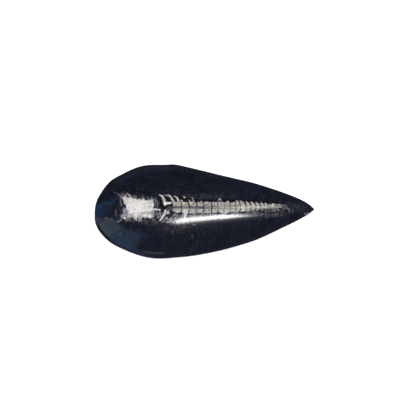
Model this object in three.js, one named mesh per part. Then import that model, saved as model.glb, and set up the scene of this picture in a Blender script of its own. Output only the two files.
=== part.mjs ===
// A polished orthoceras fossil: a straight-shelled cephalopod lying in black limestone, the stone
// ground to a teardrop that is blunt at the shell's body chamber and pointed beyond its apex.
// Shell and limestone are one stone, polished flush, so the object is one closed solid.
//
// Millimetres, +Z up. The stone lies on its sawn flat base. +X points to the sharp end, and the
// origin is the middle of the base, under the centre of the bounding box.
//
// The surface is drawn by rays. A ray leaves a point on the crest line, the ridge that runs along
// the back of the stone, goes down the dome to the girdle, the widest line of the stone, curls in
// under it to the rim of the flat base, and ends below the crest on the middle line of the base.
import * as THREE from "three";
import { ParametricGeometry } from "three/addons/geometries/ParametricGeometry.js";
import { mergeVertices } from "three/addons/utils/BufferGeometryUtils.js";

// Driving dimensions.
const LENGTH = 80; // blunt end to sharp end
const HEIGHT = 16.5; // base to the top of the crest

// The girdle in plan: the sharp end, points on the +Y and -Y edges, the blunt end.
const SHARP_END = [40, 0.75];
const PLUS_Y_EDGE = [
  [38.4, 2.3],
  [35.5, 4.15],
  [31, 6.05],
  [25, 8.2],
  [17, 10.65],
  [7, 13.0],
  [-6, 16.15],
  [-11, 17.15],
  [-14.5, 17.05],
  [-20.5, 16.95],
  [-25, 15.95],
  [-30, 13.65],
  [-34.4, 11.0],
  [-37.35, 7.4],
  [-39.35, 3.6],
];
const MINUS_Y_EDGE = [
  [37.5, -1.2],
  [33, -3.65],
  [28, -6.1],
  [23, -8.5],
  [18.5, -10.45],
  [13, -12.25],
  [5, -14.4],
  [-4, -16.1],
  [-11, -16.8],
  [-16.5, -17.15],
  [-22, -16.5],
  [-28, -14.45],
  [-33.75, -11.6],
  [-37.5, -8.2],
  [-39.6, -4.6],
];
const BLUNT_END = [-40, -0.6];

// The crest line: where it starts and ends in plan, and its height at both ends.
const CREST_BLUNT = new THREE.Vector2(-29, -0.5);
const CREST_SHARP = new THREE.Vector2(38, 0.7);
const CREST_BLUNT_HEIGHT = 14.2;
const CREST_SHARP_HEIGHT = 4.4;
const CREST_PEAK = 0.27; // share of the crest line from its blunt end to its highest point
const CREST_FALL = 1.5; // power by which the crest falls from there to the sharp end

// The section across the stone.
const GIRDLE_BLUNT_HEIGHT = 5; // height of the girdle above the base, at the blunt end
const GIRDLE_SHARP_HEIGHT = 1.9; // and at the sharp end
const RIDGE_SOFTNESS = 0.35; // 0 is a sharp ridge with flat flanks, large values a round dome
const BASE_INSET = 0.14; // how far the base stays inside the girdle, as a share of the ray

// Facets.
const GIRDLE_DIVISIONS = 2000; // chords that measure the girdle's length
const STATIONS = 70; // rays on each side, from the blunt end to the sharp end
const DOME_STEPS = 15; // crest to girdle
const UNDER_STEPS = 6; // girdle to rim of the base
const STEPS = DOME_STEPS + UNDER_STEPS + 1; // the last step is the flat base

const { lerp } = THREE.MathUtils;

// One curve runs round the girdle from the sharp end along -Y, round the blunt end and back.
const girdle = new THREE.SplineCurve(
  [SHARP_END, ...MINUS_Y_EDGE, BLUNT_END, ...PLUS_Y_EDGE.toReversed(), SHARP_END].map(
    ([x, y]) => new THREE.Vector2(x, y),
  ),
);
girdle.arcLengthDivisions = GIRDLE_DIVISIONS;

// The share of the crest line that belongs to a station: the mean of both edges along X. Stations
// are evenly far apart on the girdle, and count from its middle, which is close to the blunt end.
function crestShare(station) {
  const fromBlunt = station / (2 * STATIONS);
  const meanX = (girdle.getPointAt(0.5 - fromBlunt).x + girdle.getPointAt(0.5 + fromBlunt).x) / 2;
  return meanX / LENGTH + 0.5;
}

function crestHeight(share) {
  const past = share - CREST_PEAK;
  const [end, power, reach] =
    past < 0
      ? [CREST_BLUNT_HEIGHT, 2, CREST_PEAK]
      : [CREST_SHARP_HEIGHT, CREST_FALL, 1 - CREST_PEAK];
  return HEIGHT - (HEIGHT - end) * (Math.abs(past) / reach) ** power;
}

// The height of the dome, 1 at the crest and 0 at the girdle, at a share of the way out. The
// square root of 1 minus a hyperbola has straight flanks, a round ridge and an upright girdle.
function domeHeight(out) {
  const flank = Math.hypot(out, RIDGE_SOFTNESS) - RIDGE_SOFTNESS;
  const whole = Math.hypot(1, RIDGE_SOFTNESS) - RIDGE_SOFTNESS;
  return Math.sqrt(Math.max(0, 1 - flank / whole));
}

// A step down a ray, as a share of the way out and a height.
function sectionPoint(step, crest, girdleHeight) {
  if (step <= DOME_STEPS) {
    const out = Math.sin((step / DOME_STEPS) * (Math.PI / 2));
    return [out, lerp(girdleHeight, crest, domeHeight(out))];
  }
  if (step < STEPS) {
    const turn = ((step - DOME_STEPS) / UNDER_STEPS) * (Math.PI / 2);
    const atRim = step === STEPS - 1;
    return [
      1 - BASE_INSET * (1 - Math.cos(turn)),
      atRim ? 0 : girdleHeight * (1 - Math.sin(turn)),
    ];
  }
  return [0, 0];
}

// u runs round the girdle and v down the ray. Both sides share their points on the crest line and
// on the middle line of the base, so merging the vertices closes the solid.
function stoneSurface(u, v, target) {
  const around = Math.round(u * 2 * STATIONS) % (2 * STATIONS);
  const step = Math.round(v * STEPS);
  const station = Math.abs(STATIONS - around);
  const share = crestShare(station);
  const centre = CREST_BLUNT.clone().lerp(CREST_SHARP, share);
  const edge = girdle.getPointAt(around / (2 * STATIONS));
  const girdleHeight = lerp(GIRDLE_BLUNT_HEIGHT, GIRDLE_SHARP_HEIGHT, share);
  const [out, height] = sectionPoint(step, crestHeight(share), girdleHeight);
  const plan = centre.lerp(edge, out);
  target.set(plan.x, plan.y, height);
}

function stoneGeometry() {
  const grid = new ParametricGeometry(stoneSurface, 2 * STATIONS, STEPS);
  grid.deleteAttribute("normal");
  grid.deleteAttribute("uv");
  const closed = mergeVertices(grid);
  closed.computeVertexNormals();
  return closed;
}

const blackLimestone = new THREE.MeshStandardMaterial({
  name: "polished black limestone",
  color: 0x191b27,
  roughness: 0.15,
  metalness: 0,
});

const stone = new THREE.Mesh(stoneGeometry(), blackLimestone);
stone.name = "fossil_stone";

const orthocerasFossil = new THREE.Group();
orthocerasFossil.add(stone);

export default orthocerasFossil;
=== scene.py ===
"""The look of a polished orthoceras fossil: a teardrop of black limestone with a white shell in it.

Lengths are in millimetres until they go into Blender. x runs to the sharp end of the stone, y
across it and z up, from the flat base at z = 0, as in the CAD frame.
"""

import math

import bpy
import numpy as np
from mathutils import Matrix, Vector


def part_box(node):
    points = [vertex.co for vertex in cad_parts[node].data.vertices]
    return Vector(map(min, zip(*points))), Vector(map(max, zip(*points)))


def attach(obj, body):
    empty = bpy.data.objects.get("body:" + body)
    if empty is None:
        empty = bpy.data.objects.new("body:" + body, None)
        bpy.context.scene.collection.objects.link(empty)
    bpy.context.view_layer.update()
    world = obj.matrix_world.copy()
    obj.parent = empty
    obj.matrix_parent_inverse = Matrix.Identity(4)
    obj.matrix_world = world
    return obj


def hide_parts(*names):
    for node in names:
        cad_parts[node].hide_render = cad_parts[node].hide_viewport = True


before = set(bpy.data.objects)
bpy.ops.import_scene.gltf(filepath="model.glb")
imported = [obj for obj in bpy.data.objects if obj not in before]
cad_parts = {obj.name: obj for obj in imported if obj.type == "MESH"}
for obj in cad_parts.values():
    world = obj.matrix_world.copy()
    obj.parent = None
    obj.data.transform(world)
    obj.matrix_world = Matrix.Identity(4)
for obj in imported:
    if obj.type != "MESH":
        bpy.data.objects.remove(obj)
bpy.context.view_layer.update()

MM = 0.001
stone_low, stone_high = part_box("fossil_stone")
LENGTH = (stone_high.x - stone_low.x) / MM
HEIGHT = stone_high.z / MM

# ---------------------------------------------------------------- the form of the stone

# The girdle in plan, the widest line of the stone: its two ends and the points on both edges.
SHARP_END = (40, 0.75)
PLUS_Y_EDGE = (
    (38.4, 2.3), (35.5, 4.15), (31, 6.05), (25, 8.2), (17, 10.65),
    (7, 13.0), (-6, 16.15), (-11, 17.15), (-14.5, 17.05), (-20.5, 16.95),
    (-25, 15.95), (-30, 13.65), (-34.4, 11.0), (-37.35, 7.4), (-39.35, 3.6),
)
MINUS_Y_EDGE = (
    (37.5, -1.2), (33, -3.65), (28, -6.1), (23, -8.5), (18.5, -10.45),
    (13, -12.25), (5, -14.4), (-4, -16.1), (-11, -16.8), (-16.5, -17.15),
    (-22, -16.5), (-28, -14.45), (-33.75, -11.6), (-37.5, -8.2), (-39.6, -4.6),
)
BLUNT_END = (-40, -0.6)

# The crest line along the back of the stone: its ends in plan and their heights.
CREST_BLUNT = np.array((-29, -0.5))
CREST_SHARP = np.array((38, 0.7))
CREST_BLUNT_HEIGHT = 14.2
CREST_SHARP_HEIGHT = 4.4
CREST_PEAK = 0.27  # share of the line from its blunt end to its highest point
CREST_FALL = 1.5  # power by which it falls from there to the sharp end

# The section across the stone.
GIRDLE_BLUNT_HEIGHT = 5.0
GIRDLE_SHARP_HEIGHT = 1.9
RIDGE_SOFTNESS = 0.35  # 0 is a sharp ridge with flat flanks
BASE_INSET = 0.14  # how far the base stays inside the girdle, as a share of the ray

# The mesh: rays on each side, and steps down each ray.
GIRDLE_CHORDS = 20000  # they measure the girdle's length
STATIONS = 560
FOSSIL_STEPS = 44
FOSSIL_REACH = 0.40  # share of the dome, out from the crest, that gets the fine steps
FLANK_STEPS = 26
UNDER_STEPS = 10
BASE_STEPS = 8

# The bake map: the stone's mean half width and dome height, its middle in y, and where the
# underside's sheet starts, as a share of the map's height.
MAP_WIDTH = 14.0
MAP_HEIGHT = 8.0
MAP_MIDDLE = 17.2
MAP_UNDER = 0.45


def smooth_step(low, high, value):
    """0 below low, 1 above high, and 3t^2 - 2t^3 in between."""
    t = np.clip((value - low) / (high - low), 0, 1)
    return t * t * (3 - 2 * t)


def catmull_rom(points, at):
    """The uniform Catmull-Rom curve through points; at counts points from the first."""
    points = np.asarray(points, float)
    last = len(points) - 1
    first = np.clip(np.floor(at).astype(int), 0, last - 1)
    p0, p1, p2, p3 = (points[np.clip(first + k, 0, last)] for k in (-1, 0, 1, 2))
    t = (at - first)[:, None]
    into, out_of = (p2 - p0) / 2, (p3 - p1) / 2
    cubic = 2 * (p1 - p2) + into + out_of
    square = -3 * (p1 - p2) - 2 * into - out_of
    return ((cubic * t + square) * t + into) * t + p1


def girdle_points():
    """The girdle as 2 STATIONS points, evenly far apart, from the sharp end round by -y."""
    curve = (SHARP_END, *MINUS_Y_EDGE, BLUNT_END, *PLUS_Y_EDGE[::-1], SHARP_END)
    chords = np.linspace(0, len(curve) - 1, GIRDLE_CHORDS + 1)
    steps = np.linalg.norm(np.diff(catmull_rom(curve, chords), axis=0), axis=1)
    run = np.concatenate(([0], np.cumsum(steps)))
    even = np.linspace(0, run[-1], 2 * STATIONS, endpoint=False)
    return catmull_rom(curve, np.interp(even, run, chords))


def crest_height(share):
    """Falls from the peak to both ends, by the square towards the blunt one."""
    past = share - CREST_PEAK
    to_blunt = (HEIGHT - CREST_BLUNT_HEIGHT) * (np.maximum(-past, 0) / CREST_PEAK) ** 2
    to_sharp = (HEIGHT - CREST_SHARP_HEIGHT) * (
        np.maximum(past, 0) / (1 - CREST_PEAK)
    ) ** CREST_FALL
    return HEIGHT - to_blunt - to_sharp


def ray_steps():
    """Each step down a ray, as its share of the way out and its height.

    The height is 1 at the crest and 0 at the girdle on the dome, and from 0 down to -1 at the
    base below it. The dome is the square root of 1 minus a hyperbola, the curl under the girdle
    a quarter of an ellipse.
    """
    reach = math.asin(FOSSIL_REACH)
    turn = np.concatenate(
        (
            np.linspace(0, reach, FOSSIL_STEPS, endpoint=False),
            np.linspace(reach, math.pi / 2, FLANK_STEPS + 1),
        )
    )
    out = np.sin(turn)
    flank = np.hypot(out, RIDGE_SOFTNESS) - RIDGE_SOFTNESS
    dome = np.sqrt(np.maximum(0, 1 - flank / flank[-1]))
    curl = np.linspace(0, math.pi / 2, UNDER_STEPS + 1)[1:]
    under_out = 1 - BASE_INSET * (1 - np.cos(curl))
    base_out = np.linspace(1 - BASE_INSET, 0, BASE_STEPS + 1)[1:]
    return (
        np.concatenate((out, under_out, base_out)),
        np.concatenate((dome, np.sin(curl) * -1, np.full(BASE_STEPS, -1.0))),
    )


def rays_in_plan():
    """Where each ray starts on the crest line and ends on the girdle, and its start's share.

    Rays that mirror each other across the stone start at one point of the crest line, level
    with the mean of their ends. Its share counts from 0 at the blunt end to 1 at the sharp one.
    """
    edge = girdle_points()
    mirrored = np.roll(edge[::-1], 1, axis=0)
    share = (edge[:, 0] + mirrored[:, 0]) / 2 / LENGTH + 0.5
    centre = CREST_BLUNT + (CREST_SHARP - CREST_BLUNT) * share[:, None]
    return centre, edge, share


def stone_grid():
    """The stone's points as an array of steps by rays, from the sharp end round by -y.

    In plan a point is a share of the way from the crest line to the girdle.
    """
    centre, edge, share = rays_in_plan()
    out, height = (values[:, None] for values in ray_steps())
    plan = centre + (edge - centre) * out[..., None]
    girdle = GIRDLE_BLUNT_HEIGHT + (GIRDLE_SHARP_HEIGHT - GIRDLE_BLUNT_HEIGHT) * share
    above = (crest_height(share) - girdle) * np.maximum(height, 0)
    z = girdle + above + girdle * np.minimum(height, 0)
    return np.dstack((plan, z))


def grid_faces(steps, rays):
    """Vertex numbers and faces of a grid whose first and last steps are lines, not rings.

    Both sides share the vertices of those two lines, so each line has one vertex a station.
    """
    station = np.abs(STATIONS - np.arange(rays))
    line = STATIONS + 1
    rings = line + np.arange((steps - 2) * rays).reshape(steps - 2, rays)
    number = np.vstack((station, rings, rings[-1, -1] + 1 + station))
    after = np.roll(number, -1, axis=1)
    faces = np.dstack((number[:-1], number[1:], after[1:], after[:-1]))
    return number, faces.reshape(-1, 4)


# ---------------------------------------------------------------- the shell in the stone

# The septa, the walls between the chambers, from the body chamber to the apex: x where each
# crosses the shell's axis, half its width, and how dark it is on the +y and on the -y side.
SEPTA = np.array((
    (-14.2, 0.0, 0.0, 0.0),  # brush strokes draw this one
    (-11.5, 0.2, 1.0, 0.9),
    (-8.25, 0.22, 1.0, 0.85),
    (-5.5, 0.26, 0.9, 0.85),
    (-2.85, 0.22, 1.0, 0.7),
    (-0.35, 0.24, 0.8, 0.7),
    (2.5, 0.25, 0.95, 0.9),
    (4.7, 0.26, 0.85, 0.75),
    (6.9, 0.22, 0.6, 0.65),
    (9.15, 0.26, 0.75, 0.65),
    (11.25, 0.26, 0.75, 0.8),
    (12.95, 0.27, 0.8, 0.9),
    (14.95, 0.25, 0.95, 0.8),
    (16.7, 0.25, 0.95, 0.85),
    (18.4, 0.25, 0.95, 0.8),
    (20.15, 0.24, 0.95, 0.9),
    (21.7, 0.18, 0.9, 0.75),
    (22.95, 0.16, 0.9, 0.4),
    (23.95, 0.15, 0.9, 0.4),
    (25.6, 0.17, 0.8, 0.45),
))
AXIS_Y = 1.5
BOW, BOW_POWER = 0.068, 2.2  # a septum's rim leans to the body chamber: mm, at 1 mm off the axis
HERRINGBONE = 0.38  # slope of the straight septa near the apex
WEDGE = 0.22  # how fast those widen on the +y side, in mm a mm, past WEDGE_START
WEDGE_START = 0.9
AXIS_CLEAR = 0.3  # half the width along the axis that they cross straight, mm

# The white filling's edges on the +y and the -y side, as x and y.
FILL_PLUS = (
    (-11.6, 3.5), (-10.7, 3.35), (-8.9, 3.35), (-8.5, 4.0), (-7.9, 3.45), (-6.1, 3.4),
    (-5.6, 4.0), (-5.0, 3.5), (-4.75, 3.35), (-4.4, 3.8), (-3.5, 3.6), (-2.8, 3.3),
    (-1.7, 3.35), (-1.2, 3.8), (-0.7, 3.2), (-0.1, 3.5), (4.4, 3.4), (4.8, 3.9), (5.3, 3.5),
    (6.6, 3.4), (7.2, 3.1), (8.3, 3.9), (9.0, 3.1), (10.3, 3.5), (10.9, 3.2), (11.2, 4.1),
    (12.2, 3.5), (12.6, 4.1), (14.1, 3.3), (14.5, 3.9), (15.9, 3.0), (16.2, 3.7), (17.8, 2.9),
    (18.3, 3.6), (19.6, 2.7), (20.0, 3.6), (21.4, 2.4), (21.6, 3.2), (22.9, 2.6),
    (23.4, 2.85), (24.4, 2.8), (26.0, 2.7), (27.6, 2.75),
)
FILL_MINUS = (
    (-11.5, 0.25), (-11.0, -0.1), (-10.3, -0.2), (-9.5, -0.5), (-8.9, -0.3), (-8.1, -0.1),
    (-7.4, -0.6), (-6.1, -0.8), (-5.4, -0.6), (-3.6, -0.75), (-2.9, -0.5), (-0.6, -0.6),
    (4.0, -0.5), (4.6, -0.1), (5.5, -0.3), (6.8, -0.8), (7.6, -0.7), (8.4, -0.2), (9.2, -0.2),
    (10.0, -0.1), (11.1, -0.5), (12.1, -0.1), (14.2, 0.1), (15.8, 0.15), (17.8, 0.35),
    (18.9, 0.35), (19.7, 0.8), (20.3, 0.2), (21.0, 1.0), (21.6, 0.9), (23.0, 1.05),
    (25.0, 1.05), (26.2, 1.0), (27.6, 1.6),
)
FILL_END = 27.7
# How bright the filling is along x, from 0, grey, to 1, white: on the +y and on the -y side.
TONE_PLUS = (
    (-11, 0.24), (-7, 0.28), (-4, 0.17), (2, 0.2), (4, 0.28), (6, 0.36), (14, 0.3),
    (21, 0.36), (24.6, 0.42), (26, 0.14),
)
TONE_MINUS = (
    (-11, 0.36), (-8, 0.32), (-6.5, 0.5), (-3, 0.26), (4, 0.3), (6, 0.54), (14, 0.38),
    (17, 0.15), (21, 0.03),
)
# Near the apex the filling's axis is paler still, between these two places in x.
PALE_FROM, PALE_TO = 12, 24
# How dark the siphuncle is along x, the tube that joins the chambers, and its two thin walls.
TUBE = (
    (-11.7, 1), (-8.3, 0.9), (-7.5, 0.7), (-3.5, 0.8), (-0.8, 0.8), (0.2, 0.55), (4, 0.42),
    (6, 0.12), (9, 0.25), (14, 0.05),
)
TUBE_START = -11.6
WALL_MINUS = ((-0.8, 0), (0, 0.85), (5, 0.75), (10, 0.5), (13, 0.15))
WALL_PLUS = ((1, 0), (4, 0.3), (6, 0.5), (11, 0.45), (14, 0.1))

# The body chamber's edges: x and y on the +y and -y side, y and x on the left.
BODY_PLUS = (
    (-30, 5.5), (-28.5, 5.2), (-27, 5.0), (-25, 4.6), (-23.6, 4.4), (-22.2, 4.3),
    (-21.8, 4.8), (-21.4, 4.3), (-19.5, 4.3), (-18.8, 5.0), (-18.3, 4.2),
)
BODY_MINUS = (
    (-28.4, -2.2), (-26.8, -2.5), (-25, -2.4), (-23.8, -2.0), (-22, -1.9), (-18.6, -2.1),
    (-18.2, -1.2),
)
BODY_LEFT = (
    (-2.4, -28.2), (-0.6, -27.6), (0.3, -27.4), (1.2, -27.8), (2, -28.4), (3.5, -29.0),
    (5, -29.7),
)
BODY_RIGHT = -18.25
BODY_RIGHT_SLANT = 0.12  # how far it draws back above BODY_RIGHT_CORNER, in mm a mm
BODY_RIGHT_CORNER = 2.4
# The line, as x and y, that parts the body chamber's bright side from its grey -y side.
BODY_BRIGHT = (
    (-27, -0.6), (-25.4, -0.6), (-24.6, -1.1), (-23.4, -0.4), (-21, 0.0), (-19, 0.5),
    (-18, 1.0),
)
BODY_END = -17  # what lies to its left is the body chamber's, to its right the chambers'
HAIR_SIZE = (0.35, 2.2, 3.0)  # the hairs that its edges are drawn out into, mm
BRUSH_SIZE = (0.42, 1.3, 2.0)  # the marks, as a brush's, in the dust round it, mm

# Brush strokes of white calcite: three points with x, y and radius in mm, then how bright it
# is, which may go above 1 so that its mottling doesn't darken it.
WHITE_STROKES = (
    # The linings of the first septa, and the bar across the first chamber.
    ((-16.2, 6.05, 0.12), (-14.75, 4.75, 0.48), (-14.2, 2.4, 0.42), 0.5),
    ((-14.1, 3.0, 0.5), (-13.2, 3.02, 0.42), (-12.25, 3.12, 0.4), 0.85),
    ((-14.15, 0.5, 0.26), (-14.5, -1.2, 0.42), (-16.2, -3.25, 0.2), 0.75),
    ((-13.75, -0.5, 0.3), (-13.3, -0.45, 0.42), (-12.75, -0.2, 0.24), 0.2),
    ((-13.1, 5.95, 0.14), (-12.0, 4.95, 0.36), (-11.1, 3.5, 0.4), 0.45),
    ((-10.9, 5.5, 0.2), (-9.95, 5.0, 0.26), (-9.4, 3.95, 0.34), 0.5),
    ((-8.55, 4.15, 0.12), (-8.2, 3.7, 0.25), (-7.8, 3.0, 0.3), 0.5),
    ((-5.7, 4.1, 0.12), (-5.3, 3.6, 0.26), (-5.0, 3.0, 0.3), 0.45),
    # Spikes on the +y side and the tail on the -y side.
    ((-4.5, 4.9, 0.16), (-4.15, 4.3, 0.28), (-3.8, 3.3, 0.42), 0.15),
    ((-7.35, -2.7, 0.1), (-6.85, -1.4, 0.52), (-6.95, -0.2, 0.9), 0.55),
    ((5.05, 4.5, 0.1), (5.5, 4.35, 0.2), (6.0, 3.95, 0.1), 0.3),
    ((-7.75, 5.5, 0.1), (-7.45, 5.2, 0.18), (-7.15, 5.02, 0.26), 0.7),
    # The spine out of the body chamber, streaks below it, the ring and wisps at its left.
    ((-19.5, 0.75, 0.3), (-17.8, 0.85, 0.3), (-16.05, 0.7, 0.24), 0.75),
    ((-16.35, 0.72, 0.26), (-16.15, 0.7, 0.32), (-15.95, 0.68, 0.26), 1.3),
    ((-18.85, 2.2, 0.3), (-18.6, 2.15, 0.36), (-18.35, 2.1, 0.26), 1.4),
    ((-20.6, -1.75, 0.2), (-19.7, -1.65, 0.36), (-18.8, -1.8, 0.22), 0.75),
    ((-21.9, -1.5, 0.2), (-21.3, -1.3, 0.26), (-20.9, -1.2, 0.16), 0.8),
    ((-24.5, -0.6, 0.3), (-24.55, -1.8, 0.3), (-24.5, -3.1, 0.14), 0.8),
    ((-23.4, -1.2, 0.32), (-23.35, -2.2, 0.2), (-23.4, -3.4, 0.1), 0.5),
    ((-22.6, -1.6, 0.2), (-22.65, -2.4, 0.18), (-22.6, -3.4, 0.1), 0.4),
    ((-28.9, -2.3, 0.2), (-28.65, -2.3, 0.36), (-28.4, -2.3, 0.2), 1.1),
    ((-28.3, 6.0, 0.2), (-27.5, 6.3, 0.22), (-26.6, 5.4, 0.28), 0.35),
    ((-28.3, 6.0, 0.2), (-28.45, 5.5, 0.22), (-28.0, 5.1, 0.3), 0.3),
)
# Strokes of thin grey calcite, in the same way, and how much they cover. The last is a pale
# streak along the -y edge at the sharp end.
GREY_STROKES = (
    ((-18.3, 4.5, 0.2), (-17.7, 4.2, 0.42), (-17.3, 3.8, 0.2), 0.35),
    ((-30.9, 5.7, 0.2), (-29.8, 6.2, 0.28), (-28.8, 6.8, 0.18), 0.55),
    ((-32.9, 6.95, 0.06), (-32.1, 6.65, 0.1), (-31.0, 6.35, 0.1), 0.28),
    ((-14.7, 6.1, 0.1), (-14.1, 5.9, 0.16), (-13.5, 5.5, 0.2), 0.7),
    ((-9.6, 3.6, 0.25), (-9.3, 3.55, 0.3), (-9.0, 3.6, 0.25), 0.7),
    ((-13.7, -0.4, 0.4), (-13.3, -0.4, 0.5), (-12.8, -0.3, 0.3), 0.9),
    ((-31.3, -3.6, 0.2), (-30.4, -3.3, 0.26), (-29.8, -2.6, 0.2), 0.5),
    ((-29.6, -1.3, 0.2), (-28.8, -1.4, 0.4), (-28.0, -1.0, 0.5), 1.0),
    ((-31.6, 0.6, 0.2), (-31.9, -0.5, 0.35), (-31.7, -1.7, 0.2), 0.25),
    ((-27.9, 0.9, 0.4), (-27.7, 0.1, 0.6), (-27.6, -0.9, 0.4), 0.75),
    ((-17.4, -0.8, 0.12), (-16.9, -1.5, 0.2), (-16.5, -2.2, 0.12), 0.7),
    ((-18.6, -2.6, 0.12), (-18.2, -2.95, 0.2), (-17.7, -3.5, 0.12), 0.5),
    ((-11.9, -7.0, 0.12), (-11.6, -7.3, 0.28), (-11.4, -7.6, 0.12), 0.22),
    ((-4.4, -4.5, 0.16), (-3.8, -4.6, 0.22), (-3.3, -4.6, 0.12), 0.45),
    ((-4.8, -8.2, 0.14), (-4.4, -9.0, 0.2), (-4.8, -9.6, 0.14), 0.14),
    ((-35.8, -2.35, 0.2), (-35.4, -2.4, 0.4), (-35.0, -2.5, 0.2), 0.22),
    ((-33.9, -2.8, 0.14), (-33.6, -2.95, 0.28), (-33.2, -3.1, 0.14), 0.18),
    ((-30.8, -8.2, 0.2), (-30.4, -8.1, 0.32), (-30.1, -8.0, 0.2), 0.15),
    ((22.2, -2.3, 0.2), (22.5, -2.2, 0.3), (22.7, -2.0, 0.2), 0.15),
    ((29.4, 1.2, 0.2), (30.4, 0.8, 0.3), (30.3, -0.3, 0.2), 0.34),
    ((31.6, 0.7, 0.15), (31.8, 0.3, 0.24), (31.6, -0.2, 0.15), 0.2),
    ((30.2, 3.2, 0.1), (30.3, 3.0, 0.26), (30.4, 2.8, 0.1), 0.14),
    # A pale streak along the -y edge at the sharp end.
    ((36.3, -0.9, 0.12), (37.4, -0.8, 0.24), (39.2, -0.15, 0.16), 0.6),
)
# Strokes of black limestone in the white, in the same way, and how dark they are.
BLACK_STROKES = (
    ((-12.7, -0.9, 0.2), (-11.9, -1.1, 0.32), (-11.3, -0.7, 0.2), 0.9),
    ((-11.2, -1.5, 0.14), (-10.6, -1.7, 0.24), (-10.0, -1.4, 0.14), 0.85),
    ((-10.1, -0.95, 0.14), (-9.4, -1.05, 0.24), (-8.7, -0.8, 0.14), 0.85),
    ((-9.5, -1.9, 0.14), (-8.9, -2.0, 0.24), (-8.4, -1.6, 0.14), 0.8),
    ((-13.4, -1.9, 0.14), (-12.9, -2.2, 0.24), (-12.2, -2.2, 0.14), 0.8),
    ((-14.1, -1.5, 0.1), (-13.5, -1.3, 0.2), (-13.0, -1.4, 0.1), 0.8),
    ((-2.6, -1.4, 0.1), (-2.1, -1.2, 0.16), (-1.5, -1.3, 0.1), 0.6),
    ((-5.7, -1.05, 0.12), (-4.6, -1.1, 0.16), (-3.6, -0.95, 0.1), 0.7),
    ((-2.9, -0.95, 0.1), (0.8, -0.75, 0.15), (4.2, -0.7, 0.13), 0.7),
    ((4.35, -0.35, 0.16), (4.6, -0.4, 0.24), (4.8, -0.45, 0.16), 0.8),
    ((5.2, -0.4, 0.1), (5.7, -0.65, 0.16), (6.3, -0.9, 0.1), 0.6),
    ((8.3, -0.3, 0.14), (8.45, -0.5, 0.2), (8.6, -0.7, 0.14), 0.6),
    ((9.4, -0.45, 0.12), (9.85, -0.3, 0.18), (10.3, -0.2, 0.12), 0.75),
    ((11.4, -0.55, 0.12), (11.9, -0.6, 0.18), (12.5, -0.3, 0.14), 0.8),
    ((19.6, 0.6, 0.14), (19.9, 0.5, 0.26), (20.1, 0.2, 0.14), 0.9),
    ((21.1, 1.15, 0.12), (21.3, 1.1, 0.22), (21.5, 1.1, 0.12), 0.9),
)
# Clouds of calcite dust, a few of them painted highlight: x, y, half their width and height
# in mm, and how dense they are.
DUST_AND_HIGHLIGHT_CLOUDS = (
    (-24.0, 4.8, 6.0, 0.95, 0.4), (-28.7, 0.2, 0.8, 1.3, 0.9), (-29.6, 4.0, 0.8, 2.0, 0.5),
    (-29.3, 5.2, 1.0, 0.9, 0.9),
    (-28.9, -1.7, 1.6, 0.9, 0.9), (-25.8, -2.5, 4.4, 0.95, 0.6), (-20.0, -1.5, 2.8, 0.95, 0.7),
    (-17.5, 2.8, 1.1, 2.2, 0.32), (-17.2, -0.9, 1.6, 1.5, 0.75), (-18.5, -3.4, 5.0, 1.4, 0.16),
    # The clouds at x -12.6 and x -8.4 and the last one, at x -12.0, near y -3, are calcite dust and
    # painted highlight: the soft, pale left end of the key's streak.
    (-13.1, 0.4, 0.9, 0.7, 0.4), (-12.5, 1.2, 1.0, 1.1, 0.22), (-12.6, -3.0, 2.9, 1.1, 0.9),
    (-8.4, -3.2, 3.6, 1.2, 0.95), (-9.4, -1.3, 2.6, 0.9, 0.6), (-1.0, -1.5, 5.0, 0.65, 0.9),
    # The cloud at x 16.5, y -1.2 is painted highlight: the faint tail of the key's streak.
    (5.0, -1.2, 4.0, 0.45, 0.8), (10.5, -0.85, 3.0, 0.45, 0.75), (16.5, -1.2, 2.6, 1.1, 0.14),
    (24.0, 0.45, 3.8, 0.65, 0.42), (24.0, -0.9, 4.5, 1.1, 0.16), (28.8, 1.7, 1.5, 0.9, 0.36),
    (-10.0, -5.5, 7.0, 1.6, 0.07), (-1.0, 5.6, 12.0, 1.0, 0.05), (16.5, -0.35, 3.2, 0.6, 0.3),
    # The cloud at x -15.5, y 15.6 is a painted reflection: a faint pale smudge along the +y edge.
    (33.0, 1.4, 5.5, 1.8, 0.045), (-15.5, 15.6, 6.0, 0.9, 0.05), (-12.0, -3.2, 2.6, 0.8, 1.0),
)
# The black rim that the shell leaves in the limestone outside its white filling: x and y.
RIM_PLUS = (
    (-18, 4.8), (-16.5, 6.3), (-13, 6.3), (-8, 5.3), (-4, 4.6), (0, 4.2), (8, 4.5),
    (13, 4.6), (18, 4.3), (22, 3.7), (24, 3.0),
)
RIM_MINUS = ((-18, -2.0), (-15.5, -3.6), (-13, -2.2), (-5, -1.2), (20, -0.5))
RIM_BLUNT, RIM_SHARP = -16.9, 24
RIM_DARKNESS = 0.8

STROKE_SAMPLES = 30  # places along a brush stroke
OUTSIDE = -9.0  # a depth that is outside any stroke, mm
WOBBLE = 0.1  # how far the drawing's lines stray, mm
SEAM_RELIEF = 0.015  # how far the septa lie below the face, mm


def patches(points, size, seed):
    """Value noise: random numbers from -1 to 1 at the corners of boxes, eased in between."""
    table = np.random.default_rng(seed).uniform(-1, 1, (32, 32, 32))
    cell = np.floor(points / size).astype(int)
    ease = smooth_step(0, 1, points / size - cell)
    total = 0
    for corner in np.ndindex(2, 2, 2):
        weight = np.prod(np.where(corner, ease, 1 - ease), axis=-1)
        total = total + weight * table[tuple(np.moveaxis((cell + corner) % 32, -1, 0))]
    return total


def line(points, at):
    """Straight lines from point to point: the second number of each where the first is at."""
    firsts, seconds = np.transpose(points)
    return np.interp(at, firsts, seconds)


def all_of(*depths):
    """The depth inside what several shapes share: the smallest of their depths."""
    return np.minimum.reduce(depths)


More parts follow.
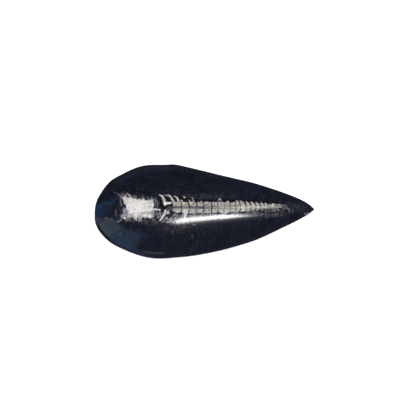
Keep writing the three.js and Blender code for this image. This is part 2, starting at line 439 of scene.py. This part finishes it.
def stroke_depth(x, y, begin, middle, end):
    """Depth inside a brush stroke: the most, along it, of its radius less the distance to it.

    The stroke is the parabola through its three points, and so is its radius.
    """
    depth = np.full(x.shape, OUTSIDE)
    for t in np.linspace(0, 1, STROKE_SAMPLES):
        shares = (1 - t) * (1 - 2 * t), 4 * t * (1 - t), t * (2 * t - 1)
        at_x, at_y, radius = (
            sum(share * point[k] for share, point in zip(shares, (begin, middle, end)))
            for k in range(3)
        )
        depth = np.maximum(depth, radius - np.hypot(x - at_x, y - at_y))
    return depth


def past_lean(x, across):
    """x carried back along the septa to the axis.

    Their rims lean to the body chamber: by a power of the distance from the axis where the
    chambers are wide, and in straight lines, as in a herringbone, near the apex.
    """
    round_share = np.interp(x, (-4, -1, 8, 11), (1, 0.4, 0.4, 0))
    straight_share = np.interp(x, (8, 11.5), (0, HERRINGBONE))
    straight = np.maximum(np.abs(across) - AXIS_CLEAR, 0)
    return x + round_share * BOW * np.abs(across) ** BOW_POWER + straight_share * straight


def septum_darkness(x, across):
    """How dark the nearest septum is here: its own darkness inside its width, 0 outside."""
    past = past_lean(x, across)
    gaps = np.abs(past[..., None] - SEPTA[:, 0])
    nearest = gaps.argmin(axis=-1)
    _, half_width, dark_plus, dark_minus = np.moveaxis(SEPTA[nearest], -1, 0)
    wedge = WEDGE * np.maximum(across - WEDGE_START, 0) * smooth_step(11, 14, x)
    inside = smooth_step(-0.1, 0.12, half_width + wedge - gaps.min(axis=-1))
    return inside * np.where(across > 0, dark_plus, dark_minus)


def siphuncle_darkness(x, across):
    """A dark band along the axis that fades to the apex, and two thin walls further on.

    A wall is exp(-d^2), with d the distance from its middle over 0.16 mm.
    """
    band = smooth_step(0.62, 0.36, np.abs(across)) * line(TUBE, x)
    minus_wall = np.exp(-(((across + 0.45) / 0.16) ** 2)) * line(WALL_MINUS, x)
    plus_wall = np.exp(-(((across - 0.65) / 0.16) ** 2)) * line(WALL_PLUS, x)
    return np.maximum(band, np.maximum(minus_wall, plus_wall)) * (x > TUBE_START)


def dust_and_highlight_density(points):
    """How much of the limestone is dusted with calcite or painted as highlight: soft ovals, broken
    up by patches.

    Each oval is exp(-r^4), with r the distance as a share of its half width and height. Round
    the body chamber the patches are narrow and tall, like a brush's marks, and near the apex
    they are small.
    """
    x, y = points[..., 0], points[..., 1]
    density = np.zeros(x.shape)
    for at_x, at_y, half_width, half_height, most in DUST_AND_HIGHLIGHT_CLOUDS:
        r_squared = ((x - at_x) / half_width) ** 2 + ((y - at_y) / half_height) ** 2
        density = np.maximum(density, most * np.exp(-(r_squared**2)))
    brush_marks = patches(points, BRUSH_SIZE, 5)
    fine = smooth_step(13, 18, x)
    coarse_patches, fine_patches = patches(points, 0.75, 6), patches(points, 0.4, 7)
    mottle = (0.6 - 0.4 * fine) * coarse_patches + (0.4 + 0.6 * fine) * fine_patches
    texture = np.where(x < BODY_END, 0.65 * brush_marks + 0.35 * mottle, mottle)
    return density * np.clip(0.66 + 1.8 * texture, 0.03, 1.7)


def shell_fields(points):
    """The shell's marks in the polished face: what each point of the stone shows.

    calcite is a depth into white calcite, in mm, below 0 outside it. The others start at 0:
    tone, how bright the calcite is; seam and tube, how dark the septa and the siphuncle make
    it; the dust and highlight field, how much grey calcite dust, and how much pale painted
    highlight near the key's streak, lies on the limestone; ink, how black the limestone is;
    dull, how much polish is missing, which is most on the calcite and the dust.
    """
    wobble = np.stack([patches(points, 0.9, seed) for seed in (3, 4)])
    x, y = points[..., 0] + WOBBLE * wobble[0], points[..., 1] + WOBBLE * wobble[1]
    across = y - AXIS_Y

    past_first = past_lean(x, across) - SEPTA[1, 0]
    fill = all_of(line(FILL_PLUS, x) - y, y - line(FILL_MINUS, x), past_first, FILL_END - x)
    tone = np.where(across > 0, line(TONE_PLUS, x), line(TONE_MINUS, x))
    pale = smooth_step(PALE_FROM - 0.5, PALE_FROM + 1, x) * smooth_step(PALE_TO, PALE_TO - 3, x)
    tone = tone + 0.25 * pale * smooth_step(0.7, 0.2, np.abs(across + 0.1))

    # The body chamber: hairs draw out its long edges, and its ends are uneven.
    hairs = patches(points, HAIR_SIZE, 8)
    drawn_back = BODY_RIGHT_SLANT * np.maximum(y - BODY_RIGHT_CORNER, 0)
    body = all_of(
        line(BODY_PLUS, x) + 0.45 * hairs - y,
        y - line(BODY_MINUS, x) + 0.5 * hairs,
        x - line(BODY_LEFT, y) + 0.55 * wobble[1] - 0.2,
        BODY_RIGHT - x + 0.4 * wobble[0] - drawn_back,
    )
    # It is brightest in its middle, greyer to the right and above, and thin at its edges.
    bright = smooth_step(-0.3, 0.3, y - line(BODY_BRIGHT, x))
    far_right = smooth_step(-23, -19, x)
    worn = np.exp(-np.maximum(body, 0) / 0.5) * (0.25 + 0.25 * hairs)
    body_tone = 0.44 + (0.5 - 0.26 * far_right) * bright - 0.12 * smooth_step(2, 4, y) - worn
    tone = np.where(x < BODY_END, body_tone, tone)
    calcite = np.maximum(fill, body)
    for begin, middle, end, stroke_tone in WHITE_STROKES:
        depth = stroke_depth(x, y, begin, middle, end)
        tone = np.where(depth > -0.1, stroke_tone, tone)
        calcite = np.maximum(calcite, depth)

    pale_axis = 0.75 * smooth_step(0.6, 0.25, np.abs(across)) * smooth_step(3, 5, x)
    seam = septum_darkness(x, across) * (fill > -0.3) * (1 - pale_axis)
    black = np.zeros(x.shape)
    for begin, middle, end, darkness in BLACK_STROKES:
        depth = stroke_depth(x, y, begin, middle, end)
        black = np.maximum(black, darkness * smooth_step(-0.1, 0.1, depth))
    seam = np.maximum(seam, black)
    dust_and_highlight = dust_and_highlight_density(points) * (1 - black)
    for begin, middle, end, cover in GREY_STROKES:
        depth = stroke_depth(x, y, begin, middle, end)
        dust_and_highlight = np.maximum(dust_and_highlight, cover * smooth_step(-0.15, 0.12, depth))
    plus_rim, minus_rim = line(RIM_PLUS, x) - y, y - line(RIM_MINUS, x)
    rim = all_of(plus_rim, minus_rim, x - RIM_BLUNT, RIM_SHARP - x)
    blotches = patches(points, (0.9, 0.6, 2.0), 9)
    soft = np.clip(0.35 + dust_and_highlight + smooth_step(0, 0.2, calcite), 0, 1)
    return {
        "dull": soft * dullness(points),
        "calcite": np.clip(calcite, -1, 1),
        "tone": tone,
        "seam": seam,
        "tube": siphuncle_darkness(x, across) * np.clip(1.15 + 0.7 * blotches, 0, 1.15),
        "dust_and_highlight": dust_and_highlight,
        "ink": RIM_DARKNESS * smooth_step(-0.1, 0.6, rim),
    }


def dullness(points):
    """0 on the mirror polish, up to 1 round the shell, where the softer calcite tore out.

    It falls off by an exponential of the distance from the shell, and is most on the -y side of
    the first chambers.
    """
    x, y = points[..., 0], points[..., 1]
    from_shell = np.maximum(np.abs(y - AXIS_Y) - 3.5, 0)
    halo = np.exp(-from_shell / 2.2) * smooth_step(-34, -28, x) * smooth_step(33, 28, x)
    worst = smooth_step(4, -12, x) * smooth_step(2.5, -0.5, y)
    return halo * (0.15 + 0.85 * worst)


def fleck_density(points):
    """How many stray grains of calcite lie in the limestone: most below the shell.

    The density falls off by an exponential of the distance from the shell. The +y side has a
    third of it, and the stretch towards the sharp end a quarter.
    """
    x, y = points[..., 0], points[..., 1]
    from_shell = np.maximum(np.abs(y - AXIS_Y) - 3.0, 0)
    halo = np.exp(-from_shell / 2.5) * smooth_step(-36, -30, x) * smooth_step(33, 27, x)
    clean = np.maximum(0.65 * smooth_step(2, 4, y), 0.75 * smooth_step(-2, 8, x))
    return (0.1 + 0.9 * halo) * (1 - clean)


def relief(points, fields):
    """How far the polished surface stands out of the plain form, in millimetres.

    Hand polishing leaves waves 13 mm and 4.5 mm across. They fade out above the flat base.
    """
    lift = smooth_step(0, 4, points[..., 2])
    waves = 0.05 * patches(points, 13, 1) + 0.012 * patches(points, 4.5, 2)
    return lift * (waves - SEAM_RELIEF * fields["seam"])


# ---------------------------------------------------------------- meshes


def write_attribute(mesh, name, values):
    """Puts one number a vertex into the mesh under a name that the material reads."""
    mesh.attributes.new(name, "FLOAT", "POINT").data.foreach_set(
        "value", np.ascontiguousarray(values, np.float32)
    )


def write_bake_map(mesh):
    """A map for baking: the dome seen from above, and below it the underside seen from below.

    A point lies on the straight line from the middle to its place on the girdle, at a share of
    the way that is the length of the ray so far over its whole length, so that steep stretches
    get room too.
    """
    centre, edge, _ = rays_in_plan()
    out, height = ray_steps()
    strides = np.hypot(np.diff(out) * MAP_WIDTH, np.diff(height) * MAP_HEIGHT)
    run = np.concatenate(([0], np.cumsum(strides)))
    rim = FOSSIL_STEPS + FLANK_STEPS
    top_share = run[: rim + 1] / run[rim]
    under_share = (run[-1] - run[rim:]) / (run[-1] - run[rim])

    def sheet(shares, up):
        """The map's points for these shares of the rays, up from the map's lower edge."""
        plan = centre + (edge - centre) * shares[:, None, None]
        across_map = plan[..., 0] / LENGTH + 0.5
        return np.dstack((across_map, (plan[..., 1] + MAP_MIDDLE) / LENGTH + up))

    corners = []
    for points, first in ((sheet(top_share, 0.0), 0), (sheet(under_share, MAP_UNDER), rim)):
        after = np.roll(points, -1, axis=1)
        squares = np.stack((points[:-1], points[1:], after[1:], after[:-1]), axis=2)
        corners.append(squares.reshape(-1, 2))
    layer = mesh.uv_layers.new(name="OFBake")
    layer.uv.foreach_set("vector", np.concatenate(corners).astype(np.float32).ravel())


def build_stone():
    """The stone as one mesh: its grid, its relief along the normals, its fields and its map."""
    grid = stone_grid()
    steps, rays = grid.shape[:2]
    number, faces = grid_faces(steps, rays)
    points = np.empty((number.max() + 1, 3))
    points[number] = grid
    mesh = bpy.data.meshes.new("orthoceras_stone")
    mesh.from_pydata(points, [], faces)
    mesh.update()
    normals = np.empty(len(points) * 3, np.float32)
    mesh.vertex_normals.foreach_get("vector", normals)

    dome = number[: FOSSIL_STEPS + FLANK_STEPS]
    fields = {"sawn": np.zeros(len(points))}
    for name, values in shell_fields(points[dome]).items():
        fields[name] = np.full(len(points), -1.0 if name == "calcite" else 0.0)
        fields[name][dome] = values
    fields["flecks"] = np.zeros(len(points))
    fields["flecks"][dome] = fleck_density(points[dome])
    fields["sawn"][number[-BASE_STEPS - 1 :]] = 1.0
    points = points + normals.reshape(-1, 3) * relief(points, fields)[:, None]
    mesh.vertices.foreach_set("co", (points * MM).astype(np.float32).ravel())
    for name, values in fields.items():
        write_attribute(mesh, name, values)
    write_bake_map(mesh)
    mesh.shade_smooth()
    mesh.update()
    stone = bpy.data.objects.new("orthoceras_stone", mesh)
    bpy.context.scene.collection.objects.link(stone)
    return stone


# ---------------------------------------------------------------- materials


def linear(hex_colour):
    """A colour written as sRGB hex, as Blender's linear red, green, blue and alpha."""
    srgb = np.array([int(hex_colour[k : k + 2], 16) for k in (1, 3, 5)]) / 255
    low, high = srgb / 12.92, ((srgb + 0.055) / 1.055) ** 2.4
    return (*np.where(srgb <= 0.04045, low, high).tolist(), 1.0)


def add(material, kind, inputs, **settings):
    """Adds a node. inputs gives each socket, by name or place, a value or another's output."""
    tree = material.node_tree
    made = tree.nodes.new("ShaderNode" + kind)
    for name, value in settings.items():
        setattr(made, name, value)
    for key, value in inputs.items():
        if isinstance(value, bpy.types.NodeSocket):
            tree.links.new(value, made.inputs[key])
        else:
            made.inputs[key].default_value = value
    return made.outputs


def empty_material(name):
    """A material with no nodes in it yet."""
    material = bpy.data.materials.new(name)
    material.use_nodes = True
    material.node_tree.nodes.clear()
    return material


def polished_limestone():
    """Black limestone, sawn and ground to shape and polished, with a shell of white calcite.

    The polish gives sharp mirror images on a near-black ground with a blue cast, and the softer
    calcite is a little duller. IOR 1.55 lies between limestone's 1.5 and calcite's 1.6.
    """
    stone = empty_material("polished_black_limestone")
    metres = add(stone, "TexCoord", {})["Object"]
    mm = add(stone, "Mapping", {"Vector": metres, "Scale": (1 / MM,) * 3})["Vector"]
    calcite_depth = add(stone, "Attribute", {}, attribute_name="calcite")["Fac"]
    tone = add(stone, "Attribute", {}, attribute_name="tone")["Fac"]
    seam = add(stone, "Attribute", {}, attribute_name="seam")["Fac"]
    tube = add(stone, "Attribute", {}, attribute_name="tube")["Fac"]
    dust_and_highlight = add(stone, "Attribute", {}, attribute_name="dust_and_highlight")["Fac"]
    ink = add(stone, "Attribute", {}, attribute_name="ink")["Fac"]
    flecks = add(stone, "Attribute", {}, attribute_name="flecks")["Fac"]
    dull = add(stone, "Attribute", {}, attribute_name="dull")["Fac"]
    sawn = add(stone, "Attribute", {}, attribute_name="sawn")["Fac"]

    # Lime mud with no grain to see. It has bluish black clouds of 3 mm, darker and paler, and
    # brownish ones of 7 mm, and its colour wavers a little over 1.3 mm.
    clouds = add(stone, "TexNoise", {"Vector": mm, "Scale": 1 / 3.0, "Detail": 5.0})["Fac"]
    clouds = add(stone, "MapRange", {"Value": clouds, "From Min": 0.38, "From Max": 0.62})[0]
    dark_mud, pale_mud = linear("#07080e"), linear("#10141f")
    mud = add(stone, "Mix", {0: clouds, 6: dark_mud, 7: pale_mud}, data_type="RGBA")[2]
    beds = add(stone, "TexNoise", {"Vector": mm, "Scale": 1 / 7.0, "Detail": 2.0})["Fac"]
    bed_range = {"Value": beds, "From Min": 0.46, "From Max": 0.6, "To Max": 0.65}
    beds = add(stone, "MapRange", bed_range)[0]
    mud = add(stone, "Mix", {0: beds, 6: mud, 7: linear("#0f100e")}, data_type="RGBA")[2]

    # Its specks of 0.4 mm stand for finer shell dust, drawn coarser so that they show.
    specks = add(stone, "TexNoise", {"Vector": mm, "Scale": 1 / 0.42, "Detail": 2.0})["Fac"]
    specks = add(stone, "MapRange", {"Value": specks, "From Min": 0.48, "From Max": 0.9})[0]
    mud = add(stone, "Mix", {0: specks, 6: mud, 7: linear("#2a2c3a")}, data_type="RGBA")[2]
    tints = add(stone, "TexNoise", {"Vector": mm, "Scale": 1 / 1.3, "Detail": 3.0})["Color"]
    tinted = {0: 0.35, 6: mud, 7: tints}
    mud = add(stone, "Mix", tinted, data_type="RGBA", blend_type="SOFT_LIGHT")[2]
    mud = add(stone, "Mix", {0: ink, 6: mud, 7: linear("#06060a")}, data_type="RGBA")[2]

    # Stray grains of calcite, about 0.5 mm, and on top of them the calcite dust, which is as
    # fine as the specks and drawn as coarse. Its pale grey also paints the soft ends of the key's
    # highlight streak, below the first chambers and past the streak's right end.
    grains = add(stone, "TexNoise", {"Vector": mm, "Scale": 1 / 0.55, "Detail": 1.0})["Fac"]
    grain_range = {"Value": grains, "From Min": 0.62, "From Max": 0.8, "To Max": 0.6}
    grains = add(stone, "MapRange", grain_range)[0]
    grains = add(stone, "Math", {0: grains, 1: flecks}, operation="MULTIPLY")[0]
    mud = add(stone, "Mix", {0: grains, 6: mud, 7: linear("#8d8fa4")}, data_type="RGBA")[2]
    fine = add(stone, "TexNoise", {"Vector": mm, "Scale": 1 / 0.35, "Detail": 3.0})["Fac"]
    fine_range = {"From Min": 0.32, "From Max": 0.68, "To Min": 0.05, "To Max": 1.35}
    fine_texture = add(stone, "MapRange", {"Value": fine, **fine_range})[0]
    dust_and_highlight = add(stone, "Math", {0: dust_and_highlight, 1: fine_texture}, operation="MULTIPLY", use_clamp=True)[0]
    ground = add(stone, "Mix", {0: dust_and_highlight, 6: mud, 7: linear("#a09ea3")}, data_type="RGBA")[2]

    # Calcite: its crystals are about 0.4 mm, which makes its edges ragged. Clouds of 0.6 mm are
    # more or less clear, and wider ones have a cream or a lavender cast. The siphuncle and the
    # septa stain it dark.
    crystals = add(stone, "TexNoise", {"Vector": mm, "Scale": 1 / 0.42, "Detail": 3.0})["Fac"]
    ragged = add(stone, "Math", {0: crystals, 1: 0.5}, operation="SUBTRACT")[0]
    ragged = add(stone, "Math", {0: ragged, 1: calcite_depth}, operation="ADD")[0]
    cover = add(stone, "MapRange", {"Value": ragged, "From Min": -0.08, "From Max": 0.1})[0]
    mottle_noise = {"Vector": mm, "Scale": 1 / 0.62, "Detail": 4.0, "Roughness": 0.62}
    mottle = add(stone, "TexNoise", mottle_noise)["Fac"]
    mottle_range = {"From Min": 0.3, "From Max": 0.7, "To Min": -0.44, "To Max": 0.44}
    mottle = add(stone, "MapRange", {"Value": mottle, **mottle_range})[0]
    tone = add(stone, "Math", {0: tone, 1: mottle}, use_clamp=True)[0]
    grey, white = linear("#6f6d66"), linear("#e6e5e2")
    calcite = add(stone, "Mix", {0: tone, 6: grey, 7: white}, data_type="RGBA")[2]
    cast = add(stone, "TexNoise", {"Vector": mm, "Scale": 1 / 2.2, "Detail": 2.0})["Fac"]
    cast = add(stone, "MapRange", {"Value": cast, "From Min": 0.35, "From Max": 0.65})[0]
    cream, lavender = linear("#f8f6ea"), linear("#f6f2f8")
    cast = add(stone, "Mix", {0: cast, 6: cream, 7: lavender}, data_type="RGBA")[2]
    tinted = {0: 1.0, 6: calcite, 7: cast}
    calcite = add(stone, "Mix", tinted, data_type="RGBA", blend_type="MULTIPLY")[2]
    calcite = add(stone, "Mix", {0: tube, 6: calcite, 7: linear("#4c4348")}, data_type="RGBA")[2]
    calcite = add(stone, "Mix", {0: seam, 6: calcite, 7: linear("#2a2422")}, data_type="RGBA")[2]
    colour = add(stone, "Mix", {0: cover, 6: ground, 7: calcite}, data_type="RGBA")[2]

    # The sawn base is only ground: paler, matt, with the grinding disc's marks 1.5 mm apart.
    # A wave with scale 1 has pi / 10 between its crests.
    marks = {"Vector": mm, "Scale": 0.21, "Distortion": 0.4}
    marks = add(stone, "TexWave", marks, bands_direction="Y")["Fac"]
    furrow, ridge = linear("#2c2d33"), linear("#3a3b41")
    base_colour = add(stone, "Mix", {0: marks, 6: furrow, 7: ridge}, data_type="RGBA")[2]
    colour = add(stone, "Mix", {0: sawn, 6: colour, 7: base_colour}, data_type="RGBA")[2]

    # Roughness: 0.15 where the stone is polished, up to 0.42 where it is dull, 0.6 on the base.
    pits = add(stone, "TexNoise", {"Vector": mm, "Scale": 1 / 0.5, "Detail": 3.0})["Fac"]
    pits = add(stone, "MapRange", {"Value": pits, "From Min": 0.3, "From Max": 0.7})[0]
    pits = add(stone, "Math", {0: pits, 1: dull}, operation="MULTIPLY")[0]
    rough = add(stone, "MapRange", {"Value": pits, "To Min": 0.15, "To Max": 0.42})[0]
    rough = add(stone, "Mix", {0: sawn, 2: rough, 3: 0.6})[0]

    # Bump: pits up to 0.006 mm deep where it is dull, and marks 0.02 mm deep on the base.
    pit_depth = add(stone, "Math", {0: pits, 1: -0.3}, operation="MULTIPLY")[0]
    mark_height = add(stone, "Math", {0: marks, 1: sawn}, operation="MULTIPLY")[0]
    height = add(stone, "Math", {0: pit_depth, 1: mark_height})[0]
    bumped = add(stone, "Bump", {"Height": height, "Strength": 1.0, "Distance": 0.02 * MM})[0]
    shader = {"Base Color": colour, "Roughness": rough, "IOR": 1.55, "Normal": bumped}
    surface = add(stone, "BsdfPrincipled", shader)["BSDF"]
    add(stone, "OutputMaterial", {"Surface": surface})
    return stone


def white_paper():
    """Matt white paper under the stone.

    It glows a little, as if it were also lit from below, so that it is a plain white all over.
    """
    paper = empty_material("matt_white_paper")
    white = linear("#ffffff")
    shader = {"Base Color": white, "Roughness": 0.9, "Specular IOR Level": 0.1}
    shader |= {"Emission Color": white, "Emission Strength": PAPER_GLOW}
    surface = add(paper, "BsdfPrincipled", shader)["BSDF"]
    add(paper, "OutputMaterial", {"Surface": surface})
    return paper


# ---------------------------------------------------------------- stage

FRAME_WIDTH = 151.4  # how much the camera takes in at the girdle, mm
GIRDLE_HEIGHT = 3.5
FRAME_CENTRE = (1.13, 1.28)
LENS = 135.0
SENSOR = 36.0
FLOOR_SIDE = 4.0  # m
LIGHT_DISTANCE = 0.7  # m
PAPER_GLOW = 0.25
ROOM_COLOUR, ROOM_STRENGTH = "#8d94b8", 0.2
# Windows and sky low beyond the blunt end, which only the polish shows: name, azimuth, zenith,
# width and height in degrees, radiance, colour and roll in degrees.
WINDOWS = (
    ("blue_window", 159, 84, (7, 52), 1.2, "#4a9ce8", 26),
    ("dusk_window", 175, 92, (17, 60), 0.85, "#3c80dc", 6),
    ("lavender_window", 193, 95, (15, 60), 0.8, "#aca4dc", -4),
    ("grey_window", 213, 82, (26, 54), 1.3, "#a0c4d8", 0),
    ("slate_window", 237, 82, (22, 54), 0.9, "#88b0d8", 0),
    ("low_window", 243, 118, (22, 22), 0.5, "#5c88e8", 0),
    ("teal_window", 262, 100, (18, 8), 0.9, "#a8dcec", 0),
    ("far_window", 113, 96, (26, 24), 0.3, "#8c90d0", 0),
)


def add_camera():
    """Looks straight down on the stone from a long lens's distance."""
    data = bpy.data.cameras.new("camera")
    data.lens, data.sensor_width = LENS, SENSOR
    camera = bpy.data.objects.new("camera", data)
    bpy.context.scene.collection.objects.link(camera)
    distance = FRAME_WIDTH * LENS / SENSOR
    camera.location = Vector((*FRAME_CENTRE, GIRDLE_HEIGHT + distance)) * MM
    bpy.context.scene.camera = camera


def add_softbox(name, azimuth, zenith, angles, radiance, colour="#ffffff", roll=0.0):
    """A rectangular light that faces the stone's middle.

    Azimuth counts from x towards y and zenith from straight up, in degrees, and angles says how
    wide and deep it looks from the stone. Its power gives it the radiance of a lit sheet.
    """
    turn, tilt = math.radians(azimuth), math.radians(zenith)
    outward = Vector((math.cos(turn), math.sin(turn), 0))
    back = outward * math.sin(tilt) + Vector((0, 0, math.cos(tilt)))
    width, depth = (2 * LIGHT_DISTANCE * math.tan(math.radians(angle) / 2) for angle in angles)
    data = bpy.data.lights.new(name, "AREA")
    data.shape = "RECTANGLE"
    data.size, data.size_y = width, depth
    data.energy = radiance * math.pi * width * depth
    data.color = linear(colour)[:3]
    light = bpy.data.objects.new(name, data)
    bpy.context.scene.collection.objects.link(light)
    side = Vector((-math.sin(turn), math.cos(turn), 0))
    turned = Matrix((side, back.cross(side), back)).transposed()
    turned = turned @ Matrix.Rotation(math.radians(roll), 3, "Z")
    light.matrix_world = Matrix.LocRotScale(back * LIGHT_DISTANCE, turned.to_quaternion(), None)
    return light


def build_stage():
    """A flat white floor, a soft key, a sheet overhead and windows low beyond the blunt end.

    The key's mirror image is the long white streak on the ridge. It throws no shadow, and the
    floor and the sheet have no mirror image, so the stone's flanks stay black.
    """
    mesh = bpy.data.meshes.new("floor")
    side = FLOOR_SIDE / 2
    corners = [(-side, -side, 0), (side, -side, 0), (side, side, 0), (-side, side, 0)]
    mesh.from_pydata(corners, [], [(0, 1, 2, 3)])
    floor = bpy.data.objects.new("floor", mesh)
    bpy.context.scene.collection.objects.link(floor)
    floor.data.materials.append(white_paper())
    floor.visible_glossy = False

    key = add_softbox("softbox", -57.0, 34.0, (25, 9.2), 30, roll=-14.4)
    key.data.use_shadow = False
    sheet = add_softbox("overhead_sheet", 90, 27, (80, 80), 1.5)
    sheet.visible_glossy = False
    for row in WINDOWS:
        window = add_softbox(*row)
        window.visible_diffuse = False
        window.data.use_shadow = False

    world = bpy.data.worlds.new("studio")
    world.use_nodes = True
    room = world.node_tree.nodes["Background"].inputs
    room["Color"].default_value = linear(ROOM_COLOUR)
    room["Strength"].default_value = ROOM_STRENGTH
    bpy.context.scene.world = world
    bpy.context.scene.view_settings.view_transform = "Standard"


add_camera()
build_stage()
stone = build_stone()
stone.data.materials.append(polished_limestone())
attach(stone, "root")
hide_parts("fossil_stone")
